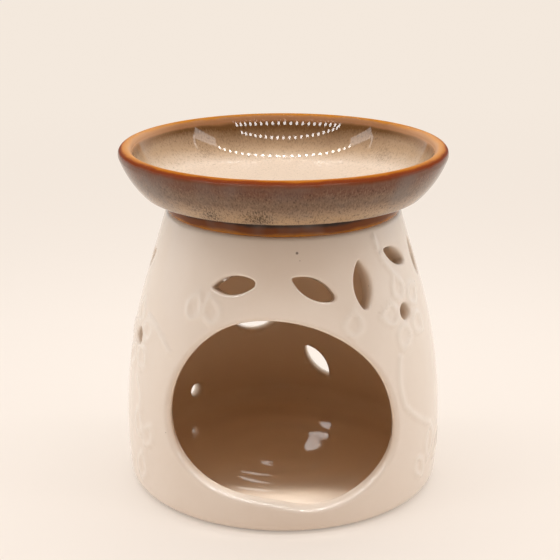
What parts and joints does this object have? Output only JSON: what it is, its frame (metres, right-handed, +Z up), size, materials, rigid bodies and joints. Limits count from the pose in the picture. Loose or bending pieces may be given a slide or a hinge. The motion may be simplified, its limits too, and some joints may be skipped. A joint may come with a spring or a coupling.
{
  "type": "essential oil burner",
  "caption": "Pierced ceramic shell with an arched tealight door and a round glazed oil dish that lifts off its rim.",
  "frame": {"origin": "centre of the base, on the surface that the burner stands on", "axes": "+Z up along the axis of the shell and dish, -Y towards the front, where the tealight door is"},
  "size_m": [0.108, 0.108, 0.115],
  "materials": {
    "cream_glaze": "gloss",
    "reactive_brown_glaze": "gloss"
  },
  "bodies": {
    "shell": {"burner_shell": "cream_glaze"},
    "dish": {"oil_dish": "reactive_brown_glaze"}
  },
  "joints": [
    {"name": "dish_lift", "type": "slide", "parent": "shell", "child": "dish", "axis": [0, 0, 1], "range_m": [0, 0.06]}
  ]
}
